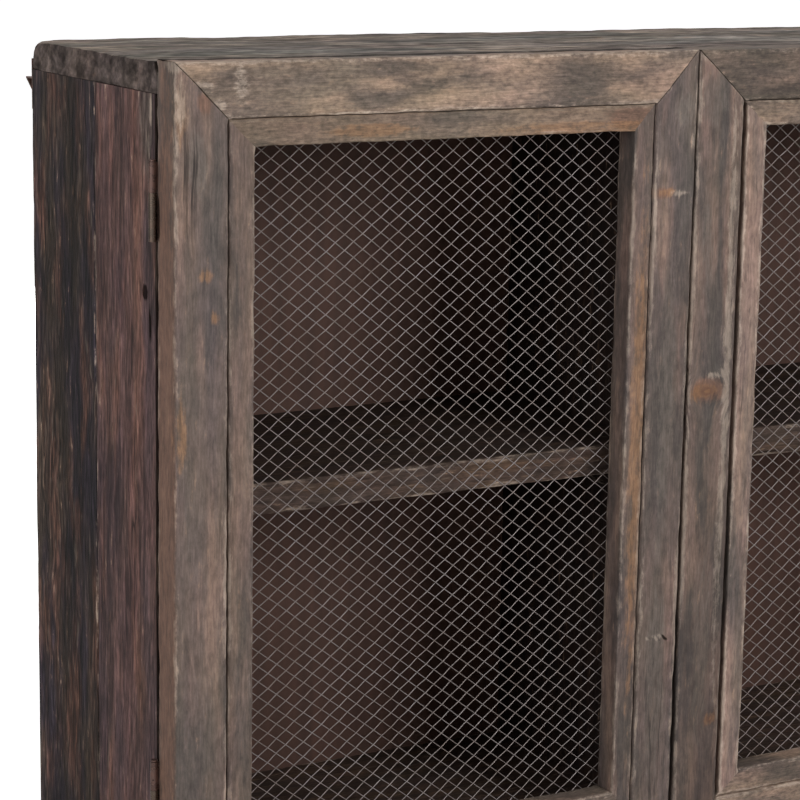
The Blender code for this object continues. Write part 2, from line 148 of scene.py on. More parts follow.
def old_wood(name, colours, patch=18, patch_length=4, fibre=3.2, fibre_length=11, detail=4.0, sway=2.5,
             streak=0.1, pitting=0.15, mottle=6, mottle_length=2.2, mottling=0.3, flecks=0.0, splits=0.2,
             relief=0.5, gloss=0.25):
    """Reclaimed softwood, planed long ago and weathered since: patches of grey, mauve and tan run
    along the grain, fibres stand dark and light, the arrises are rubbed down to paler wood, and
    knots, stains and drying cracks break the surface. The widths of patches, fibres and mottles are
    in millimetres, wider on the faces that are seen aslant, where finer ones don't show, and their
    lengths are so many times as much."""
    slate, mauve, tan = colours
    material, node, shader = new_material(name)
    grain, tone, stains, scars = (
        node("Attribute", attribute_name=label).outputs["Vector"] for label in ("grain", "tone", "stains", "scars")
    )
    arris, ends = (node("Attribute", attribute_name=label).outputs["Fac"] for label in ("arris", "ends"))
    (lightness, warmth, rubbed), (ochre, grey, pale_wear_and_highlight), (knot, umber, grime_and_shade) = (
        node("SeparateXYZ", packed).outputs for packed in (tone, stains, scars)
    )
    # The grain sways by a few millimetres over about 60 mm
    bend = node("Vector SUBTRACT", node("Noise", grain, 1000 / 60, 1.0).outputs["Color"], MIDDLE)
    bent = node("Vector MULTIPLY_ADD", bend, (2 * sway * MM, 2 * sway * MM, 0), grain)
    spaces = {
        space: node("Vector MULTIPLY", bent, squeeze) for space, squeeze in (
            ("patch", (1, 1, 1 / patch_length)), ("fibre", (1, 1, 1 / fibre_length)), ("fleck", (1, 1, 1 / 8)),
            ("split", (1, 1, 1 / 45)), ("mottle", (1, 1, 1 / mottle_length)), ("end", (0.25, 1, 1)),
        )
    }
    # Every pattern is a noise with its space, its width in millimetres, its own layer, detail and roughness
    greying, warming, fibres, pores, bands, mottles, flecked, smears, drying = (
        node("Noise", spaces[space], layer, 1000 / width, fineness, rough, noise_dimensions="4D")
        for space, width, layer, fineness, rough in (
            ("patch", patch, 0, 3, 0.5), ("patch", patch * 0.7, 7, 4, 0.5), ("fibre", fibre, 0, detail, 0.6),
            ("fibre", fibre * 0.45, 5, 3, 0.6), ("fibre", fibre * 3.3, 2, 2, 0.5), ("mottle", mottle, 4, 6, 0.72),
            ("fleck", fibre * 0.7, 9, 2, 0.5), ("end", 9, 1, 5, 0.65), ("split", 14, 3, 3, 0.5),
        )
    )
    growth = node(
        "Wave",
        {"Vector": spaces["fibre"], "Scale": 314 / fibre, "Distortion": 7.0, "Detail": 3.0, "Detail Scale": 1.5},
        bands_direction="DIAGONAL", wave_profile="SAW",
    )
    # Wide patches set how grey the wood is, and narrower ones how warm
    greyed = node(SMOOTH, greying, 0.40, 0.60)
    warmed = node(SMOOTH, node("Math ADD", warming, warmth), 0.46, 0.68)
    colour = node("Mix RGBA", warmed, node("Mix RGBA", greyed, slate, mauve), tan)
    # No two patches have quite the same hue
    hue = node("Vector MULTIPLY_ADD", warming.outputs["Color"], HUE_SPREAD, LEAST_HUE)
    colour = node("Vector MULTIPLY", colour, hue)
    # Stains, chips, rubbed arrises and a painted highlight have ragged borders
    ragged = node("Math SUBTRACT", node("Math ADD", mottles, fibres), 1.0)
    stretches = node("Range", warming, 0.35, 0.65, 0.4, 1.2)
    rubbing = node("Math MULTIPLY", node("Math MULTIPLY", arris, rubbed), stretches)
    for amount, paint, raggedness, least, most, share in (
        (umber, UMBER, 1.2, 0.15, 0.80, 0.80),
        (grey, GREYED, 2.0, 0.25, 1.00, 0.65),
        (ochre, OCHRE, 2.0, 0.30, 1.10, 0.55),
        (pale_wear_and_highlight, BARE_WOOD_AND_HIGHLIGHT, 2.0, 0.35, 1.00, 0.65),
        (rubbing, BARE_WOOD_AND_HIGHLIGHT, 2.2, 0.45, 1.15, 0.60),
    ):
        rough_edge = node("Math MULTIPLY_ADD", ragged, raggedness, amount)
        colour = node("Mix RGBA", node(SMOOTH, rough_edge, least, most, 0, share), colour, paint)
    colour = node("Mix RGBA", node("Math MULTIPLY", ends, 0.85), colour, END_GRAIN)
    # Fibres, the pores between them, bands three fibres wide and a mottle give light and dark
    light = lightness
    for pattern, spread, depth in (
        (fibres, 0.18, streak), (pores, 0.16, pitting), (bands, 0.18, streak * 0.8),
        (mottles, 0.18, mottling), (growth, 0.5, streak * 0.4),
    ):
        shade = node("Range", pattern, 0.5 - spread, 0.5 + spread, 1 - depth, 1 + depth)
        light = node("Math MULTIPLY", light, shade)
    # End grain shows the yearly rings, some 5 mm apart, under smears of dirt
    yearly = node(
        "Wave", {"Vector": grain, "Scale": 314 / 5, "Distortion": 3.0, "Detail": 2.0, "Detail Scale": 0.5},
        wave_type="RINGS", rings_direction="Z",
    )
    yearly = node("Range", yearly, 0, 1, 0.93, 1.06)
    smeared = node("Math MULTIPLY", node("Range", smears, 0.3, 0.7, 0.55, 1.45), yearly)
    smeared = node("Mix FLOAT", ends, 1.0, smeared)
    light = node("Math MULTIPLY", light, smeared)
    colour = node("Vector SCALE", colour, light)
    # Torn fibres leave short pale dashes and short dark ones, in clusters on the long faces
    bare = node("Math SUBTRACT", 1.0, ends)
    if flecks:
        clusters = node("Math MULTIPLY", node(SMOOTH, warming, 0.40, 0.65, 0, flecks), bare)
        for least, most, paint in ((0.57, 0.74, BARE_WOOD_AND_HIGHLIGHT), (0.40, 0.26, GRIME_AND_SHADE_COLOUR)):
            torn = node(SMOOTH, flecked, least, most, 0, clusters)
            colour = node("Mix RGBA", torn, colour, paint)
    # Dirt darkens the wood, and the same mark is painted shade in the gaps beside the doors, the plank and the
    # hinges
    grime_and_shade_share = node(SMOOTH, node("Math MULTIPLY_ADD", ragged, 0.8, grime_and_shade), 0.30, 0.70, 0, 0.9)
    colour = node("Mix RGBA", grime_and_shade_share, colour, GRIME_AND_SHADE_COLOUR)
    # A knot has dark and light rings round its heart
    rings = node("Math MULTIPLY_ADD", knot, 15.0, node("Math MULTIPLY", mottles, 14.0))
    rings = node("Range", node("Math SINE", rings), -1.0, 1, 0, 0.45)
    heart = node("Mix RGBA", rings, KNOT, OCHRE)
    knotted = node(SMOOTH, node("Math MULTIPLY_ADD", ragged, 1.2, knot), 0.10, 0.70, 0, 0.7)
    colour = node("Mix RGBA", knotted, colour, heart)
    # Drying cracks follow the grain in places
    split = node("Math ABSOLUTE", node("Math SUBTRACT", drying, 0.5))
    opened = node(SMOOTH, split, 0.004, 0.020, 1.0, 0.0)
    least, most = (edge - 0.3 * splits for edge in (0.62, 0.78))
    where = node(SMOOTH, greying, least, most, 0, 0.9)
    opened = node("Math MULTIPLY", node("Math MULTIPLY", opened, where), bare)
    colour = node("Mix RGBA", opened, colour, GRIME_AND_SHADE_COLOUR)
    roughness = node("Range", mottles, 0, 1, 0.5, 0.9)
    height = node("Math MULTIPLY_ADD", pores, 0.4, node("Math MULTIPLY_ADD", mottles, 0.6, fibres))
    height = node("Math SUBTRACT", height, opened)
    bump = node("Bump", {"Height": height, "Strength": relief, "Distance": 1.2 * MM})
    # Where dirt or painted shade lies, the wood loses its sheen
    sheen = node("Range", grime_and_shade_share, 0, 1, gloss, 0.0)
    feed(shader, {"Base Color": colour, "Roughness": roughness, "Specular IOR Level": sheen, "Normal": bump})
    return material


def mottled(name, colours, speck, detail, rough, metal=0.0, blend=None, fineness=0.5, bump=None, stretch=None):
    """A surface of two colours in specks of so many millimetres, stretched along the grain of a board.
    Its roughness and share of metal are plain values, or go from the one colour's to the other's."""
    material, node, shader = new_material(name)
    if stretch:
        grain = node("Attribute", attribute_name="grain").outputs["Vector"]
        place = node("Vector MULTIPLY", grain, stretch)
    else:
        place = node("TexCoord").outputs["Object"]
    specks = node("Noise", place, 1000 / speck, detail, fineness)
    shade = node(blend[0], specks, *blend[1:]) if blend else specks
    feed(shader, {"Base Color": node("Mix RGBA", shade, *colours)})
    for socket, value in (("Metallic", metal), ("Roughness", rough)):
        if isinstance(value, tuple):
            value = node("Range", shade, 0, 1, *value)
        feed(shader, {socket: value})
    if bump:
        strength, depth = bump
        relief = node("Bump", {"Height": specks, "Strength": strength, "Distance": depth * MM})
        feed(shader, {"Normal": relief})
    return material


def new_geometry(name, **inputs):
    """A tree of geometry nodes with inputs listed by their kinds, what adds nodes to it, and its inputs."""
    tree = bpy.data.node_groups.new(name, "GeometryNodeTree")
    tree.is_modifier = True
    tree.interface.new_socket(name="Geometry", in_out="OUTPUT", socket_type="NodeSocketGeometry")
    for kind, labels in {"Geometry": ["Start"], **inputs, "Material": ["Material"]}.items():
        for label in labels:
            tree.interface.new_socket(name=label, in_out="INPUT", socket_type=f"NodeSocket{kind}")
    return tree, partial(add, tree), tree.nodes.new("NodeGroupInput").outputs


def end_tree(node, geometry, material):
    """Paints what a tree has made and hands it out."""
    real = node("RealizeInstances", geometry)
    painted = node("SetMaterial", {"Geometry": real, "Material": material})
    node("GroupOutput", {0: painted})


def grown(tree, material, values, start=None):
    """The plain mesh that a tree makes from a material and these values of its named inputs."""
    values = {**values, "Material": material}
    holder = bpy.data.objects.new("holder", start or bpy.data.meshes.new("holder"))
    bpy.context.scene.collection.objects.link(holder)
    modifier = holder.modifiers.new(tree.name, "NODES")
    modifier.node_group = tree
    for item in tree.interface.items_tree:
        if item.in_out == "INPUT" and item.name in values:
            modifier[item.identifier] = values[item.name]
    graph = bpy.context.evaluated_depsgraph_get()
    mesh = bpy.data.meshes.new_from_object(
        holder.evaluated_get(graph), preserve_all_data_layers=True, depsgraph=graph
    )
    bpy.data.objects.remove(holder)
    return mesh


def worn_timber_tree():
    """A board as wear leaves it: its arrises rounded more in some stretches than in others, its
    faces a little uneven, and its ends square or mitred. It lies along Z with its width along X."""
    tree, node, given = new_geometry(
        "worn_timber",
        Vector=("Size", "Warp", "Tone", "Hollow 1", "Hollow 2"),
        Int=("Rows X", "Rows Y", "Rows Z"),
        Float=("Wear", "Wear Spread", "End Wear", "End Grain", "Chip", "Ridges", "Seed", "Mitre Low", "Mitre High",
               "Reach 1", "Reach 2", "Depth 1", "Depth 2"),
    )
    cube = node("MeshCube", (2, 2, 2), given["Rows X"], given["Rows Y"], given["Rows Z"])
    half = node("Vector SCALE", given["Size"], 0.5)
    # The rows of the mesh crowd towards the arrises
    even = node("InputPosition")
    sine = node("Vector SINE", node("Vector SCALE", even, math.pi / 2))
    crowded = node("Vector MULTIPLY_ADD", node("Vector SUBTRACT", sine, even), (1, 1, 0.88), even)
    place = node("Vector MULTIPLY", crowded, half)
    seeded = node("Vector SCALE", (0.31, 0.57, 0.83), given["Seed"])
    grain = node("Vector ADD", place, seeded)
    # How near a point lies to an arris and to the board's ends
    depth = node("Vector SUBTRACT", half, node("Vector ABSOLUTE", place))
    closeness = node(
        SMOOTH, depth, (ARRIS_BAND,) * 3, (0, 0, 0), (0, 0, 0), (1, 1, 1),
        data_type="FLOAT_VECTOR",
    )
    facing = node("Vector DOT_PRODUCT", closeness, (1, 1, 0.4))
    arris = node("Math SUBTRACT", facing, 1.0, use_clamp=True)
    end_depth = node("SeparateXYZ", depth).outputs["Z"]
    ends = node(SMOOTH, end_depth, 0.8 * MM, 0.0)
    # The radius of an arris swells in stretches some 30 mm long and in hollows, and is its own at the ends
    swollen = node(SMOOTH, node("Noise", grain, 1000 / 30, 4.0), 0.42, 0.80)
    radius = node("Math MULTIPLY_ADD", swollen, given["Wear Spread"], given["Wear"])
    at_end = node(SMOOTH, end_depth, 6 * MM, 0.0, 1.0, given["End Wear"])
    radius = node("Math MULTIPLY", radius, at_end)
    # Chips some 8 mm wide have broken from the arrises of the ends
    flakes = node(SMOOTH, node("Noise", grain, 1000 / 8, 2.0), 0.54, 0.72)
    flakes = node("Math MULTIPLY", flakes, node(SMOOTH, end_depth, 5 * MM, 0.0))
    radius = node("Math MULTIPLY_ADD", flakes, given["Chip"], radius)
    arris = node("Math MAXIMUM", arris, flakes)
    for number in (1, 2):
        apart = node("Vector DISTANCE", place, given[f"Hollow {number}"])
        nearness = node(SMOOTH, apart, given[f"Reach {number}"], 0.0)
        radius = node("Math MULTIPLY_ADD", nearness, given[f"Depth {number}"], radius)
    limit = node("Vector SUBTRACT", half, radius)
    opposite = node("Vector SCALE", limit, -1.0)
    core = node("Vector MAXIMUM", node("Vector MINIMUM", place, limit), opposite)
    out = node("Vector NORMALIZE", node("Vector SUBTRACT", place, core))
    rounded = node("Vector MULTIPLY_ADD", out, radius, core)
    # The faces wander over some 90 mm
    wander = node("Vector SUBTRACT", node("Noise", grain, 1000 / 90, 5.0).outputs["Color"], MIDDLE)
    wander = node("Vector MULTIPLY", wander, given["Warp"])
    bent = node("Vector ADD", rounded, wander)
    # Weather wears the upper face into ridges some 18 mm wide and three times as long
    ridge = node("Noise", node("Vector MULTIPLY", grain, (1, 1, 0.33)), 1000 / 18, 2.0, 0.6)
    ridge = node("Math MULTIPLY", node("Math SUBTRACT", ridge, 0.45), given["Ridges"])
    face = node("SeparateXYZ", even).outputs["Y"]
    face = node("Math MAXIMUM", face, 0.0)
    ridge = node("CombineXYZ", 0, node("Math MULTIPLY", ridge, face))
    bent = node("Vector ADD", bent, ridge)
    # A mitred bar is shorter along its inner side
    x, y, z = node("SeparateXYZ", bent).outputs
    half_width, _, half_length = node("SeparateXYZ", half).outputs
    inset = node("Math ADD", x, half_width)
    upper = node("Math GREATER_THAN", z, 0.0)
    slope = node("Mix FLOAT", upper, given["Mitre Low"], given["Mitre High"])
    inset = node("Math DIVIDE", node("Math MULTIPLY", inset, slope), half_length)
    along = node("Math MULTIPLY", z, node("Math SUBTRACT", 1.0, inset))
    sawn = node("CombineXYZ", x, y, along)
    figure = node("Vector ADD", sawn, seeded)
    ends = node("Math MULTIPLY", ends, given["End Grain"])
    stored = cube
    for name, kind, value in (
        ("grain", "FLOAT_VECTOR", figure), ("tone", "FLOAT_VECTOR", given["Tone"]),
        ("arris", "FLOAT", arris), ("ends", "FLOAT", ends),
    ):
        stored = node(
            "StoreNamedAttribute", {"Geometry": stored, "Name": name, "Value": value},
            data_type=kind, domain="POINT",
        )
    shaped = node("SetPosition", {"Geometry": stored, "Position": sawn})
    end_tree(node, shaped, given["Material"])
    return tree


def woven_wire_tree():
    """Two sets of slanting wires that pass over and under each other and are cut to a rectangle."""
    tree, node, given = new_geometry(
        "woven_wire", Int=("Lines", "Steps"),
        Float=("Width", "Height", "Diamond Width", "Diamond Height", "Wire Diameter", "Wander"),
    )
    run = node("Math MULTIPLY", given["Diamond Width"], given["Steps"])
    rise = node("Math MULTIPLY", given["Diamond Height"], given["Steps"])
    end = node("Vector SCALE", node("CombineXYZ", run, 0, rise), 0.5)
    wire = node("CurvePrimitiveLine", {"End": end})
    points = node("Math MULTIPLY_ADD", given["Steps"], 2.0, 1.0)
    wire = node("ResampleCurve", {"Curve": wire, "Count": points})
    start = node("CombineXYZ", node("Math MULTIPLY", run, -0.5))
    apart = node("CombineXYZ", given["Diamond Width"])
    starts = node("MeshLine", {"Count": given["Lines"], "Start Location": start, "Offset": apart})
    laid = node("RealizeInstances", node("InstanceOnPoints", {"Points": starts, "Instance": wire}))
    across = node("CombineXYZ", given["Width"])
    mirrored = node("Transform", {"Geometry": laid, "Translation": across, "Scale": (-1, 1, 1)})
    place = node("InputPosition")
    height = node("SeparateXYZ", place).outputs["Z"]
    crossing = node("Math DIVIDE", height, given["Diamond Height"])
    crossing = node("Math MULTIPLY", crossing, 2 * math.pi)
    crimp = node("Math COSINE", crossing)
    noise = node("Vector SUBTRACT", node("Noise", place, 1000 / 45, 2.0).outputs["Color"], MIDDLE)
    noise = node("Vector SCALE", noise, given["Wander"])
    woven = node("JoinGeometry")
    for wires, sign in ((laid, 0.5), (mirrored, -0.5)):
        lift = node("Math MULTIPLY", node("Math MULTIPLY", given["Wire Diameter"], sign), crimp)
        lift = node("CombineXYZ", 0, lift)
        moved = node("Vector ADD", lift, noise)
        feed(woven, {0: node("SetPosition", {"Geometry": wires, "Offset": moved})})
    corner = node("CombineXYZ", given["Width"], 1.0, given["Height"])
    inside = node("Vector MINIMUM", node("Vector MAXIMUM", place, (0, -1, 0)), corner)
    outside = node("Math GREATER_THAN", node("Vector DISTANCE", place, inside), 0.01 * MM)
    cut = node("DeleteGeometry", {"Geometry": woven, "Selection": outside}, domain="POINT")
    radius = node("Math MULTIPLY", given["Wire Diameter"], 0.5)
    section = node("CurvePrimitiveCircle", {"Resolution": 6, "Radius": radius})
    tubes = node("CurveToMesh", {"Curve": cut, "Profile Curve": section, "Fill Caps": True})
    end_tree(node, tubes, given["Material"])
    return tree


def set_on_points(node, given, shape, angle):
    """Puts a shape on every point, on the side that the point faces, and turns it by an angle."""
    facing = node("InputNamedAttribute", {"Name": "facing"}, data_type="FLOAT_VECTOR")
    upright = node("AlignRotationToVector", {"Vector": facing}, axis="Z")
    turn = node("AxisAngleToRotation", {"Axis": Z, "Angle": angle})
    driven = node("RotateRotation", upright, turn, rotation_space="LOCAL")
    laid = node("InstanceOnPoints", {"Points": given["Start"], "Instance": shape, "Rotation": driven})
    end_tree(node, laid, given["Material"])


def fastener_tree(name, slotted):
    """Round heads on points, each turned by its own angle. A screw's head has a slot across it."""
    tree, node, given = new_geometry(name, Float=("Head Diameter", "Head Height", "Slot Width"), Int=("Seed",))
    radius = node("Math MULTIPLY", given["Head Diameter"], 0.5)
    upper = node("Math MULTIPLY", radius, 0.75)
    head = node("MeshCone", {
        "Vertices": 14, "Radius Top": upper, "Radius Bottom": radius, "Depth": given["Head Height"],
    })
    if slotted:
        depth = node("Math MULTIPLY", given["Head Height"], 1.2)
        size = node("CombineXYZ", given["Head Diameter"], given["Slot Width"], depth)
        cutter = node("MeshCube", size)
        rise = node("CombineXYZ", 0, 0, given["Head Height"])
        cutter = node("Transform", {"Geometry": cutter, "Translation": rise})
        head = node("MeshBoolean", {"Mesh 1": head, "Mesh 2": cutter}, operation="DIFFERENCE")
    angle = node("RandomValue", {2: 0.0, 3: 2 * math.pi, "Seed": given["Seed"]}, data_type="FLOAT")
    set_on_points(node, given, head, angle)
    return tree


def staple_tree():
    """Bent wire staples on points, with their crowns turned by each point's own angle."""
    tree, node, given = new_geometry("staples", Float=("Crown", "Leg", "Wire Diameter"))
    half = node("Math MULTIPLY", given["Crown"], 0.5)
    other = node("Math MULTIPLY", half, -1.0)
    foot = node("Math MULTIPLY", given["Leg"], -1.0)
    knee = node("Math MULTIPLY", given["Leg"], 0.6)
    corners = {
        label: node("CombineXYZ", x, 0, z) for label, x, z in (
            ("Start", other, foot), ("Start Handle", other, knee), ("End Handle", half, knee), ("End", half, foot),
        )
    }
    bent = node("CurvePrimitiveBezierSegment", {"Resolution": 7, **corners})
    radius = node("Math MULTIPLY", given["Wire Diameter"], 0.5)
    section = node("CurvePrimitiveCircle", {"Resolution": 5, "Radius": radius})
    staple = node("CurveToMesh", {"Curve": bent, "Profile Curve": section, "Fill Caps": True})
    angle = node("InputNamedAttribute", {"Name": "turn"}, data_type="FLOAT")
    set_on_points(node, given, staple, angle)
    return tree


def piece(name, mesh, body, slot, *stands_for):
    """Adds a finished mesh to the cabinet, riding on a body and standing for its plain solids."""
    made = bpy.data.objects.new(name, mesh)
    bpy.context.scene.collection.objects.link(made)
    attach(made, body)
    if stands_for:
        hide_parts(*stands_for)
    return made


TIMBER = worn_timber_tree()
WOVEN = woven_wire_tree()
SCREWS = fastener_tree("slotted_screws", slotted=True)
NAILS = fastener_tree("round_nails", slotted=False)
STAPLES = staple_tree()


def vectors(items, key):
    """The vectors that items of a mesh hold, one to a row."""
    flat = numpy.empty(len(items) * 3)
    items.foreach_get(key, flat)
    return flat.reshape(-1, 3)


# The marks that each layer of a board holds
LAYERS = {"stains": ("ochre", "grey", "pale_wear_and_highlight"), "scars": ("knot", "umber", "grime_and_shade")}
# How much stronger stains are than their eggs, how far a darkened place dims, and how the grain
# turns round a knot: by what share, and over how many times the knot's reach
STAIN_GAIN, DIMMING, GRAIN_TURN, TURN_REACH = 1.6, 0.5, 0.6, 1.8


def mark(mesh, across, spots):
    """Lays stains, knots, dirt, painted shade and a painted highlight on a board, each an egg of falling strength
    about a place in millimetres. The grain runs round a knot. Where a board is faded or darkened it has no border."""
    places = vectors(mesh.vertices, "co")
    grain, tone = (vectors(mesh.attributes[name].data, "vector") for name in ("grain", "tone"))
    amounts = {layer: numpy.zeros_like(places) for layer in LAYERS}
    for kind, centre, reach in spots:
        aside = places - numpy.array(centre) * MM
        distance = numpy.linalg.norm(aside / (numpy.array(reach) * MM), axis=1)
        strength = numpy.clip(1 - distance, 0, 1)
        for layer, kinds in LAYERS.items():
            if kind in kinds:
                column = amounts[layer][:, kinds.index(kind)]
                laid = strength if kind == "knot" else numpy.minimum(1, STAIN_GAIN * strength)
                numpy.maximum(column, laid, out=column)
        if kind == "faded":
            tone[:, 0] *= 1 + strength
        if kind == "darkened":
            tone[:, 0] *= 1 - DIMMING * strength
        if kind == "knot":
            turned = numpy.exp(-((distance / TURN_REACH) ** 2))
            grain[:, 0] -= GRAIN_TURN * (aside @ numpy.array(across)) * turned
    for name, values in (("grain", grain), ("tone", tone)):
        mesh.attributes[name].data.foreach_set("vector", values.ravel())
    for layer, amount in amounts.items():
        mesh.attributes.new(layer, "FLOAT_VECTOR", "POINT").data.foreach_set("vector", amount.ravel())


# How far a hollow without depth reaches
NO_REACH = 0.01


def timber(body, node, slot, along, across, material, seed, tone=(1, 0, 1), wear=1.5, spread=2.0, end_wear=1.0,
           end_grain=1.0, chip=0.0, warp=(1.2, 1.2, 1.2), ridges=0.0, swelling=0.0, mitres=(0.0, 0.0),
           ends=None, gap=0.0, shave=0.0, hollows=(), spots=(), finish=None):
    """A worn board in the place of a plain one. It runs along one axis, with its width along another,
    between its own ends or those of a frame. Gaps and shavings are taken off its ends and off its
    outer edge, in millimetres, and its upper face may swell beyond the plain board's."""
    low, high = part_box(node)
    along, across = Vector(along), Vector(across)
    if ends:
        low, high = (corner + along * (end - corner).dot(along) for corner, end in zip((low, high), ends))
    thick = along.cross(across)
    length, width, depth = (abs((high - low).dot(axis)) for axis in (along, across, thick))
    length -= 2 * gap * MM
    width -= shave * MM
    centre = (low + high) / 2 + across * shave * MM / 2
    turn = Matrix((across, thick, along)).transposed().to_4x4()
    rows = [max(least, round(size / ROW)) for least, size in zip(LEAST_ROWS, (width, depth, length))]
    values = {
        "Size": (width, depth, length),
        "Rows X": min(MOST_ROWS_ACROSS, rows[0]), "Rows Y": min(MOST_ROWS_ACROSS, rows[1]), "Rows Z": rows[2],
        "Wear": wear * MM, "Wear Spread": spread * MM, "End Wear": end_wear, "End Grain": end_grain,
        "Chip": chip * MM, "Warp": [bow * MM for bow in warp], "Ridges": ridges * MM, "Seed": float(seed),
        "Tone": tone, "Mitre Low": mitres[0], "Mitre High": mitres[1], "Reach 1": NO_REACH, "Reach 2": NO_REACH,
    }
    for number, (place, reach, deep) in enumerate(hollows, 1):
        values[f"Hollow {number}"] = place
        values[f"Reach {number}"] = reach * MM
        values[f"Depth {number}"] = deep * MM
    mesh = grown(TIMBER, material, values)
    mesh.transform(Matrix.Translation(centre) @ turn)
    mark(mesh, across, spots)
    if finish:
        finish(node, mesh)
    else:
        places = numpy.clip(vectors(mesh.vertices, "co"), low, high + thick * swelling * MM)
        mesh.vertices.foreach_set("co", places.ravel())
    mesh.shade_smooth()
    mesh.set_sharp_from_angle(angle=math.radians(SHARP_ANGLE))
    return piece(f"{node}_timber", mesh, body, slot, node)


STILE_WOOD = old_wood(
    "weathered_planed_pine", ("#4f4642", "#61534d", "#766359"), patch=24, patch_length=7, streak=0.08,
    pitting=0.22, mottling=0.36,
)
RAIL_WOOD = old_wood(
    "rubbed_planed_pine", ("#534841", "#6b5c51", "#867262"), patch=38, patch_length=3, sway=1.5, streak=0.1,
    pitting=0.25, mottle=3.6, mottle_length=1.8, mottling=0.5,
)
TOP_WOOD = old_wood(
    "weathered_grey_plank", ("#7a736d", "#82776e", "#8c8076"), patch=60, patch_length=5, fibre=18,
    fibre_length=3, detail=2.0, streak=0.5, pitting=0.45, mottle=16, mottle_length=1.5, mottling=0.4,
    flecks=0.8, splits=0.7, relief=0.9, gloss=0.03,
)
SIDE_WOOD = old_wood(
    "weathered_mauve_board", ("#463738", "#594340", "#6a4e45"), patch=40, patch_length=5, fibre=4.2,
    fibre_length=10, detail=3.0, sway=4, streak=0.5, pitting=0.5, mottling=0.4, flecks=0.3, splits=0.3,
    relief=0.8, gloss=0.15,
)
ROUGH_WOOD = old_wood(
    "rough_sawn_dark_board", ("#251f24", "#3b302a", "#503a32"), patch=34, patch_length=4, fibre=4.8,
    fibre_length=9, detail=3.0, sway=5, streak=0.7, pitting=0.7, mottling=0.45, flecks=0.55, splits=0.5,
    relief=1.0, gloss=0.15,
)
INNER_WOOD = old_wood("dark_inner_board", ("#231c1a", "#29201d", "#2e231e"), streak=0.2, gloss=0.1)
SHELF_WOOD = old_wood(
    "brown_shelf_board", ("#3f342f", "#463832", "#4c3d32"), streak=0.25, pitting=0.3, mottling=0.35,
    flecks=0.3, gloss=0.08,
)
# Stained plywood: an even brown with a faint upright grain
BACK_BOARD = mottled("stained_plywood", ("#412a21", "#4d3227"), 9, 5.0, 0.75, blend=("Range", 0.3, 0.7),
                     bump=(0.15, 0.3), stretch=(1, 1, 0.06))
# Drawn steel wire gone dull: a soft grey sheen with faint brown tarnish
WIRE = mottled("dull_drawn_steel_wire", ("#7c7574", "#6d625d"), 25, 4.0, 0.5, 0.7, ("Range", 0.35, 0.7))
# Mild steel, stamped and rolled, with its dark finish gone to brown rust in patches. Where a hinge
# rubs, more bare metal shines through
RUST = {"speck": 9, "detail": 6.0, "blend": (SMOOTH, 0.40, 0.65), "fineness": 0.65, "bump": (0.25, 0.2)}
STEEL = mottled("rusted_mild_steel", ("#604b45", "#67493f"), rough=(0.26, 0.55), metal=(0.60, 0.10), **RUST)
RUBBED_STEEL = mottled(
    "rubbed_mild_steel", ("#6c6057", "#5f4f45"), rough=(0.22, 0.36), metal=(0.95, 0.75), **RUST
)
# Moulded brown plastic: a soft shine with a fine spark-eroded grain
PLASTIC = mottled("moulded_brown_plastic", ("#3a261b", "#4a3325"), 0.5, 2.0, 0.5, bump=(0.1, 0.1))
# A sintered ferrite magnet: dark grey, dull and finely grained
FERRITE = mottled("sintered_ferrite", ("#26262a", "#3a393b"), 0.8, 3.0, 0.6)

# Stains on the left side's front board, about their places; the long dark mark beside the upper hinge's barrel is
# painted shade
SIDE_SPOTS = (
    ("grey", (-502, -246, 316), (20, 20, 50)), ("pale_wear_and_highlight", (-502, -254, 330), (20, 5, 24)),
    ("pale_wear_and_highlight", (-502, -251, 300), (20, 4, 18)), ("grime_and_shade", (-502, -243, 181), (20, 8, 10)),
    ("grime_and_shade", (-502, -253, 156), (20, 3, 26)), ("grime_and_shade", (-502, -255, 257), (20, 4, 52)),
)
# Where the plank's left end is broken: places in its own axes in metres, reach and depth in millimetres
BROKEN_END = (((0.133, 0.012, -0.5025), 38, 10), ((-0.055, 0.012, -0.5025), 70, 3))


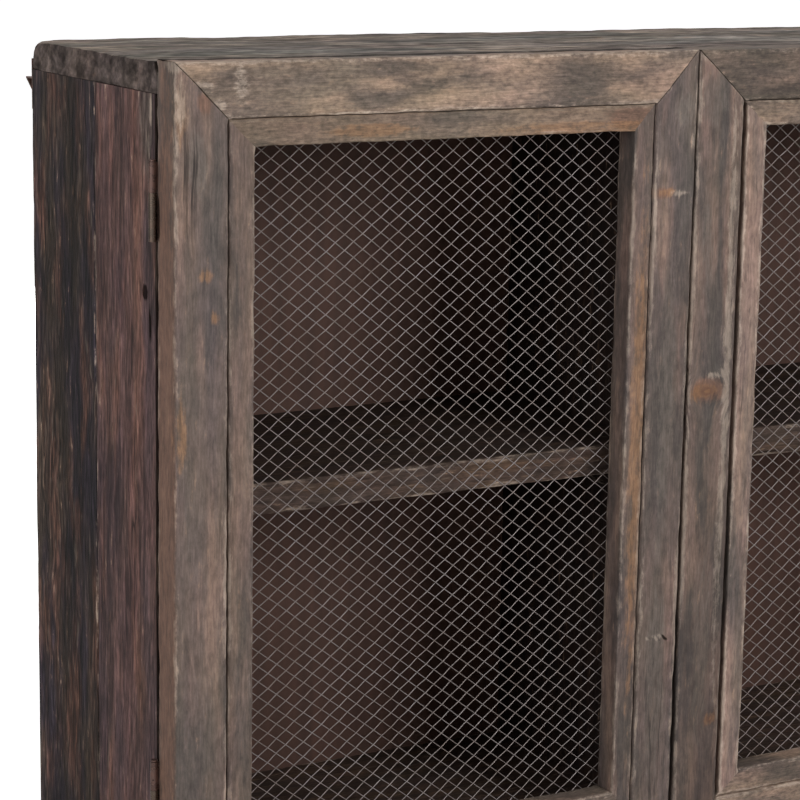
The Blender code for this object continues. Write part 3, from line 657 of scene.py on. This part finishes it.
def case_boards():
    """The case: plank, floor, back, partition, sides, shelves and the cleats under them."""
    board = partial(timber, "carcass")
    board("top_panel", "old_wood", X, Y, TOP_WOOD, 1, wear=0.7, end_wear=0.35, chip=1.2,
          warp=(1.6, 0.8, 1.6), ridges=3.0, swelling=1.5, hollows=BROKEN_END,
          # A dark band along the plank's front edge is painted shade where the doors' tops meet it
          spots=(("grime_and_shade", (-250, -265, 366), (520, 8, 14)),))
    board("floor_panel", "old_wood", X, Y, SHELF_WOOD, 2)
    board("back_panel", "back_wood", Z, X, BACK_BOARD, 3, wear=0.3, spread=0.2, end_wear=0.3,
          warp=(0.6, 0.6, 0.1))
    board("partition", "dark_wood", Z, Y, INNER_WOOD, 4)
    for label, side in SIDES.items():
        # A dark strip down each side board's front edge is painted shade in the gap behind the door
        shaded_edge = ("grime_and_shade", (side * 502, -266, 0), (40, 4.2, 3000))
        board(f"{label}_side_front_board", "old_wood", Z, Y, SIDE_WOOD, 5 + side, end_wear=0.2,
              end_grain=0.2, warp=(1.2, 1.2, 0.1), spots=(shaded_edge, *(SIDE_SPOTS if side < 0 else ())))
        bands = (
            ("faded", (side * 512, -12, 0), (20, 40, 3000)), ("darkened", (side * 512, -80, 0), (20, 50, 3000)),
        )
        board(f"{label}_side_rear_board", "dark_wood", Z, Y, ROUGH_WOOD, 9 + side, (1, 0, 0.6),
              end_wear=0.2, end_grain=0.2, warp=(2, 2, 0.1), spots=bands)
        low, high = (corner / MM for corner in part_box(f"{label}_shelf"))
        rubbed_front = ("faded", ((low.x + high.x) / 2, low.y, (low.z + high.z) / 2), (1200, 6, 60))
        board(f"{label}_shelf", "old_wood", X, Y, SHELF_WOOD, 13 + side, (0.58, 0, 1),
              spots=(rubbed_front,))
        for place in ("partition", "side"):
            board(f"{label}_{place}_cleat", "dark_wood", Y, X, INNER_WOOD, 17 + side, wear=0.8, spread=1)


# How light and how warm each bar of a door is against the others, and how far its arrises are rubbed
BAR_TONES = {
    "left_door_hinge_bead": (0.79, 0.10, 1.0), "left_door_meeting_stile": (0.85, -0.04, 1.3),
    "left_door_meeting_bead": (0.84, 0.02, 1.0), "left_door_top_rail": (1.15, 0.04, 1.1),
    "left_door_top_bead": (0.74, 0.21, 0.8), "right_door_meeting_stile": (0.86, 0.05, 1.3),
    "right_door_meeting_bead": (1.17, 0.06, 1.0), "right_door_top_rail": (0.85, -0.06, 1.0),
}

# Arrises that are planed round: on which side of the bar, how far across it and how deep
EASED = {"left_door_hinge_bead": (-1, 3.5, 3.0), "right_door_meeting_stile": (1, 9.0, 4.5)}
# Corners knocked off at the mitres: places in a bar's own axes in metres, reach and depth in millimetres
CHIPS = {
    "left_door_top_rail": (((-0.0017, -0.0165, -0.2476), 9, 2.4), ((0.0132, -0.0165, -0.2476), 7, 2.0)),
    "left_door_meeting_stile": (((0.0008, 0.0165, 0.3671), 8, 2.2), ((0.0150, 0.0165, 0.3671), 7, 1.6)),
    "right_door_meeting_stile": (((0.0040, 0.0165, 0.3671), 9, 1.8),),
}
# How much narrower than its fit a bead is, which leaves a groove beside the frame
GROOVES = {
    "left_door_hinge_bead": 1.6, "left_door_meeting_bead": 0.7, "left_door_top_bead": 0.2,
    "right_door_meeting_bead": 3.8, "right_door_top_bead": 0.5,
}

# Stains and knots on the doors' fronts, and a painted highlight on the right meeting stile: their places across
# and up, and how far they reach across and up
FRONT, FRONT_REACH = -300, 20
FRONT_SPOTS = {
    "left_door_hinge_stile": (
        ("ochre", -497, 332, 8, 40), ("pale_wear_and_highlight", -497, 338, 7, 34), ("umber", -476, 336, 9, 12),
        ("grey", -484, 290, 14, 40), ("ochre", -476, 200, 9, 9), ("ochre", -467, 166, 5, 9),
        ("ochre", -497, 70, 9, 40),
    ),
    "left_door_meeting_stile": (
        ("umber", -40, 246, 16, 7), ("ochre", -36, 246, 15, 5), ("pale_wear_and_highlight", -21, 245, 13, 4),
        ("grey", -28, 60, 13, 190), ("grey", -28, -200, 15, 150), ("pale_wear_and_highlight", -30, -156, 17, 4),
        ("grey", -18, 318, 15, 20), ("grime_and_shade", -19, -158, 10, 3),
    ),
    "left_door_meeting_bead": (("ochre", -55, 20, 13, 330),),
    "left_door_top_bead": (
        ("ochre", -110, 303, 150, 13), ("umber", -70, 312, 40, 14), ("ochre", -330, 310, 60, 9),
    ),
    "left_door_top_rail": (
        ("pale_wear_and_highlight", -445, 352, 9, 20), ("pale_wear_and_highlight", -478, 350, 11, 6), ("pale_wear_and_highlight", -464, 334, 10, 6),
        ("pale_wear_and_highlight", -270, 323.7, 200, 3),
    ),
    "right_door_top_rail": (("darkened", 95, 333, 60, 8),),
    "right_door_meeting_stile": (
        ("umber", 20, 67, 26, 17), ("knot", 17, 66, 21, 11), ("ochre", 6, 64, 9, 10), ("pale_wear_and_highlight", 27, 80, 17, 6),
        ("knot", 35, -242, 10, 10), ("pale_wear_and_highlight", 46, -240, 6, 11), ("grey", 12, 190, 8, 90),
        # On this row, the long pale stripe over the stile's rounded inner arris is worn wood and a painted
        # highlight
        ("grey", 22, -170, 14, 140), ("pale_wear_and_highlight", 37, 60, 7, 420), ("grey", 14, 325, 20, 36),
    ),
}
# Marks that go round an edge or over much of a bar: their whole places and reaches
WIDE_SPOTS = {
    "left_door_hinge_stile": (
        ("pale_wear_and_highlight", (-503, FRONT, 366), (18, 30, 10)), ("umber", (-503, -283, 0), (4, 30, 500)),
        # The dark mark on the stile's edge beside the hinge barrel is painted shade
        ("grime_and_shade", (-503, -269, 244), (6, 5, 28)),
    ),
    "left_door_meeting_stile": (("faded", (-27, -326, 290), (60, 40, 170)),),
    "left_door_top_bead": (("darkened", (-410, -320, 312), (200, 40, 80)),),
    "left_door_top_rail": (
        # First below: a dark band along the back of the rail's top, painted shade where the door meets the plank
        ("grime_and_shade", (-255, -270, 369), (900, 22, 10)), ("darkened", (-450, -328, 345), (160, 40, 80)),
        ("darkened", (-90, -328, 345), (160, 40, 80)),
    ),
    "right_door_meeting_stile": (("darkened", (25, FRONT, -330), (80, 60, 420)),),
}


# How edges stray from straight: the length of each wave, its height and where it starts
WAVES = ((61, 0.15, 0.4), (27, 0.10, 1.9), (12.5, 0.07, 4.1))
WAVE_SLANT, WAVE_SHIFT = 0.45, 37
# How wide the mitres stray more, how far the doors lean at their seam, and how far in that reaches
MITRE_BAND, SEAM_TAPER, LEAN_REACH = 8, 0.8, 60


def stray(along, across):
    """How far an edge strays, by the waves along it."""
    phase = 2 * math.pi * (along + WAVE_SLANT * across)
    return sum(rise * numpy.sin(phase / length + start) for length, rise, start in WAVES)


def settle(label, side):
    """What time did to a door's bars: edges and mitres stray a little, the meeting edge leans, and
    some arrises are planed round."""
    door_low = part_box(f"{label}_door_bottom_rail")[0] / MM
    door_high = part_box(f"{label}_door_top_rail")[1] / MM
    seam = door_low.x if side > 0 else door_high.x

    def finish(name, mesh):
        x, y, z = (vectors(mesh.vertices, "co") / MM).T
        low, high = (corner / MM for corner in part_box(name))
        from_side = numpy.minimum(x - door_low.x, door_high.x - x)
        from_end = numpy.minimum(z - door_low.z, door_high.z - z)
        at_mitre = 1 + numpy.exp(-(((from_side - from_end) / MITRE_BAND) ** 2))
        lean = numpy.clip(1 - abs(x - seam) / LEAN_REACH, 0, 1) * z / door_high.z
        moved_x = x + at_mitre * stray(z, x) - side * SEAM_TAPER * lean
        moved_z = z + at_mitre * stray(x + WAVE_SHIFT, z)
        moved_y = numpy.minimum(y, high.y)
        if name in EASED:
            edge, reach, drop = EASED[name]
            from_edge = (high.x - x) if edge > 0 else (x - low.x)
            bend = numpy.clip(1 - from_edge / reach, 0, 1)
            frontness = (high.y - moved_y) / (high.y - low.y)
            moved_y = moved_y + drop * (1 - numpy.sqrt(1 - bend * bend)) * frontness
        mesh.vertices.foreach_set("co", (numpy.stack((moved_x, moved_y, moved_z), axis=1) * MM).ravel())

    return finish


# The bars made so far, which number their own patterns
BARS = []
FIRST_BAR_SEED = 20


def door(label, side):
    """A door's mitred frame, the bead inside it and the wire behind."""
    body = f"{label}_door"
    inward = LEFTWARD if side > 0 else X
    outward = X if side > 0 else LEFTWARD
    finish = settle(label, side)
    for uprights, levels, wear in (("stile", "rail", 1.5), ("bead", "bead", 1.0)):
        names = {place: f"{label}_door_{place}_{uprights}" for place in ("hinge", "meeting")}
        names.update({place: f"{label}_door_{place}_{levels}" for place in ("top", "bottom")})
        spans = {place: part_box(name)[1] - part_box(name)[0] for place, name in names.items()}
        corners = [corner for name in names.values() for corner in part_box(name)]
        outline = [Vector(choose(sizes) for sizes in zip(*corners)) for choose in (min, max)]
        left_end, right_end = ("meeting", "hinge") if side > 0 else ("hinge", "meeting")
        for place, along, across, neighbours, wood in (
            ("hinge", Z, inward, ("bottom", "top"), STILE_WOOD),
            ("meeting", Z, outward, ("bottom", "top"), STILE_WOOD),
            ("top", X, DOWN, (left_end, right_end), RAIL_WOOD),
            ("bottom", X, Z, (left_end, right_end), RAIL_WOOD),
        ):
            name = names[place]
            if along == Z:
                mitres = [spans[end].z / spans[place].x for end in neighbours]
            else:
                mitres = [spans[end].x / spans[place].z for end in neighbours]
            spots = [
                (kind, (x, FRONT, z), (wide, FRONT_REACH, tall))
                for kind, x, z, wide, tall in FRONT_SPOTS.get(name, ())
            ]
            BARS.append(timber(
                body, name, "old_wood", along, across, wood, FIRST_BAR_SEED + len(BARS),
                BAR_TONES.get(name, (1, 0, 1)), wear=wear, end_wear=0.06, end_grain=0.06, chip=1.6,
                warp=(0.3, 1.0, 0.05), mitres=mitres, ends=outline, gap=0.4, shave=GROOVES.get(name, 0.0),
                hollows=CHIPS.get(name, ()), spots=(*spots, *WIDE_SPOTS.get(name, ())), finish=finish,
            ))
    low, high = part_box(f"{label}_door_mesh")
    size = high - low
    steps = math.ceil(2 * size.z / DIAMOND_HEIGHT) + 2
    lines = math.ceil(size.x / DIAMOND_WIDTH) + math.ceil(steps / 2) + 2
    mesh = grown(WOVEN, WIRE, {
        "Width": size.x, "Height": size.z, "Diamond Width": DIAMOND_WIDTH, "Diamond Height": DIAMOND_HEIGHT,
        "Wire Diameter": WIRE_DIAMETER, "Wander": WIRE_WANDER, "Lines": lines, "Steps": steps,
    })
    mesh.transform(Matrix.Translation((low.x, (low.y + high.y) / 2, low.z)))
    mesh.shade_smooth()
    piece(f"{label}_door_woven_wire", mesh, body, "steel_wire", f"{label}_door_mesh")


def points(places):
    """A mesh of bare points: where each fastener sits in metres, which way it faces and how it turns."""
    mesh = bpy.data.meshes.new("points")
    mesh.from_pydata([place for place, _, _ in places], [], [])
    mesh.attributes.new("facing", "FLOAT_VECTOR", "POINT").data.foreach_set(
        "vector", [share for _, facing, _ in places for share in facing]
    )
    mesh.attributes.new("turn", "FLOAT", "POINT").data.foreach_set("value", [turn for _, _, turn in places])
    return mesh


# Where a hinge leaf's screws sit, in from the barrel and up from the foot, and what each fastener measures
LEAF_SCREWS = ((15, 9), (21, 31.5), (15, 54.5))
FLUSH_SCREW = {"Head Diameter": 6.4 * MM, "Head Height": 0.22 * MM, "Slot Width": 1.1 * MM, "Seed": 3}
ROUND_SCREW = {"Head Diameter": 6 * MM, "Head Height": 2.0 * MM, "Slot Width": 1.1 * MM, "Seed": 5}
NAIL = {"Head Diameter": 5 * MM, "Head Height": 0.8 * MM, "Seed": 7}
STAPLE = {"Crown": 10 * MM, "Leg": 2.5 * MM, "Wire Diameter": 1.2 * MM}
# How far flush heads stand off their seam, and where the screws of hangers, catches and strike plates sit
HEAD_OUT, HANGER_INSET, HANGER_THICK, EAR_THICK = 0.2 * MM, 6.5 * MM, 1.4 * MM, 3 * MM
EAR_SHARES, PLATE_SHARES = (0.11, 0.89), (0.2, 0.8)
NAILS_ACROSS, NAILS_UP = 10, 7
STAPLE_SPACING, STAPLE_INSET = 65 * MM, 6 * MM
# How the staples along the rails and along the stiles are turned, in radians
RAIL_TURN, STILE_TURN = 0.3, 1.3


def spaced(low, high, count):
    """Places evenly spaced between two ends, half a step in from each."""
    return [low + (0.5 + step) / count * (high - low) for step in range(count)]


def fasteners():
    """Screws in hinge leaves, catches, strike plates and hangers, nails in the back, staples on the net."""
    flush, proud = {"carcass": []}, []
    for label, side in SIDES.items():
        body = f"{label}_door"
        flush[body] = []
        for level in ("upper", "lower"):
            low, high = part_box(f"{label}_{level}_hinge_case_leaf")
            barrel = low.x if side < 0 else high.x
            seam = (low.y + high.y) / 2
            for inset, rise in LEAF_SCREWS:
                x = barrel - side * inset * MM
                flush["carcass"].append(((x, seam + HEAD_OUT, low.z + rise * MM), FRONTWARD, 0.0))
                flush[body].append(((x, seam - HEAD_OUT, low.z + rise * MM), Y, 0.0))
        low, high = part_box(f"{label}_strike_plate")
        for share in PLATE_SHARES:
            flush[body].append(((low.x + share * (high.x - low.x), high.y, (low.z + high.z) / 2), Y, 0.0))
        low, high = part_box(f"{label}_wall_hanger")
        for z in (low.z + HANGER_INSET, high.z - HANGER_INSET):
            proud.append((((low.x + high.x) / 2, low.y + HANGER_THICK, z), Y, 0.0))
        low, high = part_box(f"{label}_magnetic_catch")
        for share in EAR_SHARES:
            x = low.x + share * (high.x - low.x)
            proud.append(((x, (low.y + high.y) / 2, high.z - EAR_THICK), DOWN, 0.0))
    for body, places in flush.items():
        piece(f"{body}_flush_screws", grown(SCREWS, STEEL, FLUSH_SCREW, points(places)), body, "hinge_steel")
    piece("carcass_round_screws", grown(SCREWS, STEEL, ROUND_SCREW, points(proud)), "carcass", "hinge_steel")
    low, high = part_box("back_panel")
    driven = []
    for bottom, top in (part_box("floor_panel"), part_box("left_shelf")):
        level = (bottom.z + top.z) / 2
        driven += [((x, high.y, level), Y, 0.0) for x in spaced(low.x, high.x, NAILS_ACROSS)]
    driven += [((0.0, high.y, z), Y, 0.0) for z in spaced(low.z, high.z, NAILS_UP)]
    piece("back_panel_nails", grown(NAILS, STEEL, NAIL, points(driven)), "carcass", "hinge_steel")
    for label in SIDES:
        low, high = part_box(f"{label}_door_mesh")
        across, along = (math.floor(size / STAPLE_SPACING) for size in (high.x - low.x, high.z - low.z))
        laid = []
        for x in spaced(low.x, high.x, across):
            laid += [((x, high.y, z), Y, RAIL_TURN) for z in (low.z + STAPLE_INSET, high.z - STAPLE_INSET)]
        for z in spaced(low.z, high.z, along):
            laid += [((x, high.y, z), Y, STILE_TURN) for x in (low.x + STAPLE_INSET, high.x - STAPLE_INSET)]
        mesh = grown(STAPLES, STEEL, STAPLE, points(laid))
        mesh.shade_smooth()
        piece(f"{label}_door_staples", mesh, f"{label}_door", "steel_wire")


def block(form, low, high, bevel):
    """Adds a box with rounded arrises to a form, between two corners in millimetres."""
    made = bmesh.ops.create_cube(form, size=1.0)["verts"]
    for vertex in made:
        vertex.co = [(a + b) / 2 * MM + c * (b - a) * MM for a, b, c in zip(low, high, vertex.co)]
    edges = {edge for vertex in made for edge in vertex.link_edges}
    bmesh.ops.bevel(form, geom=list(edges), offset=bevel * MM, segments=2, affect="EDGES")


def magnetic_catch(label):
    """A moulded housing with two ears, and in it a magnet between two steel poles."""
    node = f"{label}_magnetic_catch"
    low, high = (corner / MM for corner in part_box(node))
    middle = (low.x + high.x) / 2
    for name, material, slot, blocks, bevel in (
        ("housing", PLASTIC, "catch_plastic", (
            ((low.x, low.y + 2, high.z - 3), (high.x, high.y, high.z)),
            ((middle - 12, low.y + 1, low.z), (middle + 12, high.y, high.z - 2.9)),
        ), 0.7),
        ("poles", STEEL, "hinge_steel", (
            ((middle - 10, low.y, low.z + 2), (middle + 10, low.y + 6, low.z + 3.4)),
            ((middle - 10, low.y, low.z + 7.6), (middle + 10, low.y + 6, low.z + 9)),
        ), 0.2),
        ("magnet", FERRITE, "hinge_steel", (
            ((middle - 9.5, low.y + 0.6, low.z + 3.4), (middle + 9.5, low.y + 6, low.z + 7.6)),
        ), 0.3),
    ):
        form = bmesh.new()
        for corner, opposite in blocks:
            block(form, corner, opposite, bevel)
        mesh = bpy.data.meshes.new(f"{label}_catch_{name}")
        form.to_mesh(mesh)
        form.free()
        mesh.materials.append(material)
        stands_for = (node,) if name == "housing" else ()
        piece(f"{label}_catch_{name}", mesh, "carcass", slot, *stands_for)


def metal_fittings():
    """Steel finishes for the hinges, hangers and strike plates, then the catches and fasteners."""
    for name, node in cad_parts.items():
        if any(part in name for part in ("hinge_case", "hinge_door", "pin", "hanger", "strike")):
            node.data.materials.clear()
            node.data.materials.append(RUBBED_STEEL if "hinge_case" in name else STEEL)
    for label in SIDES:
        magnetic_catch(label)
    fasteners()


case_boards()
for name, turn in SIDES.items():
    door(name, turn)
metal_fittings()


WHITE = (1, 1, 1, 1)
# What the floor adds to its own light to look white, and how much the white air lights the cabinet
FLOOR_GLOW, AIR_LIGHT = 0.88, 0.12
FLOOR_SIZE = 40
# Each lamp's place in metres, its width and its power in watts; all look at the cabinet's middle
LAMPS = {
    "key": ((0.8, -3.5, 1.3), 1.3, 92.0),
    "overhead": ((0.3, -1.0, 2.3), 1.6, 13.0),
    "fill": ((-3.2, -1.4, 0.9), 1.6, 46.0),
    "rear": ((0.6, 3.0, 0.0), 0.7, 50.0),
}


def studio():
    """A pale floor under the cabinet, white air behind it and soft light from the front right."""
    scene = bpy.context.scene
    scene.view_settings.view_transform = "Standard"
    low, _ = CAD_BOX
    bpy.ops.mesh.primitive_plane_add(size=FLOOR_SIZE, location=(0, 0, low.z - 1 * MM))
    floor = bpy.context.object
    floor.name = "floor"
    material, node, shader = new_material("pale_floor")
    rays = node("LightPath")
    glow = node("Math MULTIPLY", rays.outputs["Is Camera Ray"], FLOOR_GLOW)
    feed(shader, {
        "Base Color": "#eceae7", "Roughness": 0.9, "Emission Color": WHITE, "Emission Strength": glow,
    })
    floor.data.materials.append(material)

    world = bpy.data.worlds.new("white_air")
    scene.world = world
    world.use_nodes = True
    node = partial(add, world.node_tree)
    air = world.node_tree.nodes["Background"]
    rays = node("LightPath")
    seen = node("Math MAXIMUM", rays.outputs["Is Camera Ray"], rays.outputs["Is Glossy Ray"])
    seen = node("Math MAXIMUM", seen, rays.outputs["Is Transmission Ray"])
    strength = node("Range", seen, 0, 1, AIR_LIGHT, 1.0)
    feed(air, {"Color": WHITE, "Strength": strength})

    for name, (place, width, power) in LAMPS.items():
        lamp = bpy.data.lights.new(name, "AREA")
        lamp.size = width
        lamp.energy = power
        holder = bpy.data.objects.new(name, lamp)
        holder.location = place
        holder.rotation_euler = (-Vector(place)).to_track_quat("-Z", "Y").to_euler()
        scene.collection.objects.link(holder)

    lens = bpy.data.cameras.new("camera")
    lens.lens = CAMERA_LENS
    lens.sensor_width = SENSOR_WIDTH
    camera = bpy.data.objects.new("camera", lens)
    turn = Matrix.Rotation(math.radians(-CAMERA_YAW), 4, "Z")
    tilt = Matrix.Rotation(math.radians(90 - CAMERA_PITCH), 4, "X")
    roll = Matrix.Rotation(math.radians(CAMERA_ROLL), 4, "Z")
    camera.matrix_world = Matrix.Translation(CAMERA_PLACE) @ turn @ tilt @ roll
    scene.collection.objects.link(camera)
    scene.camera = camera


studio()
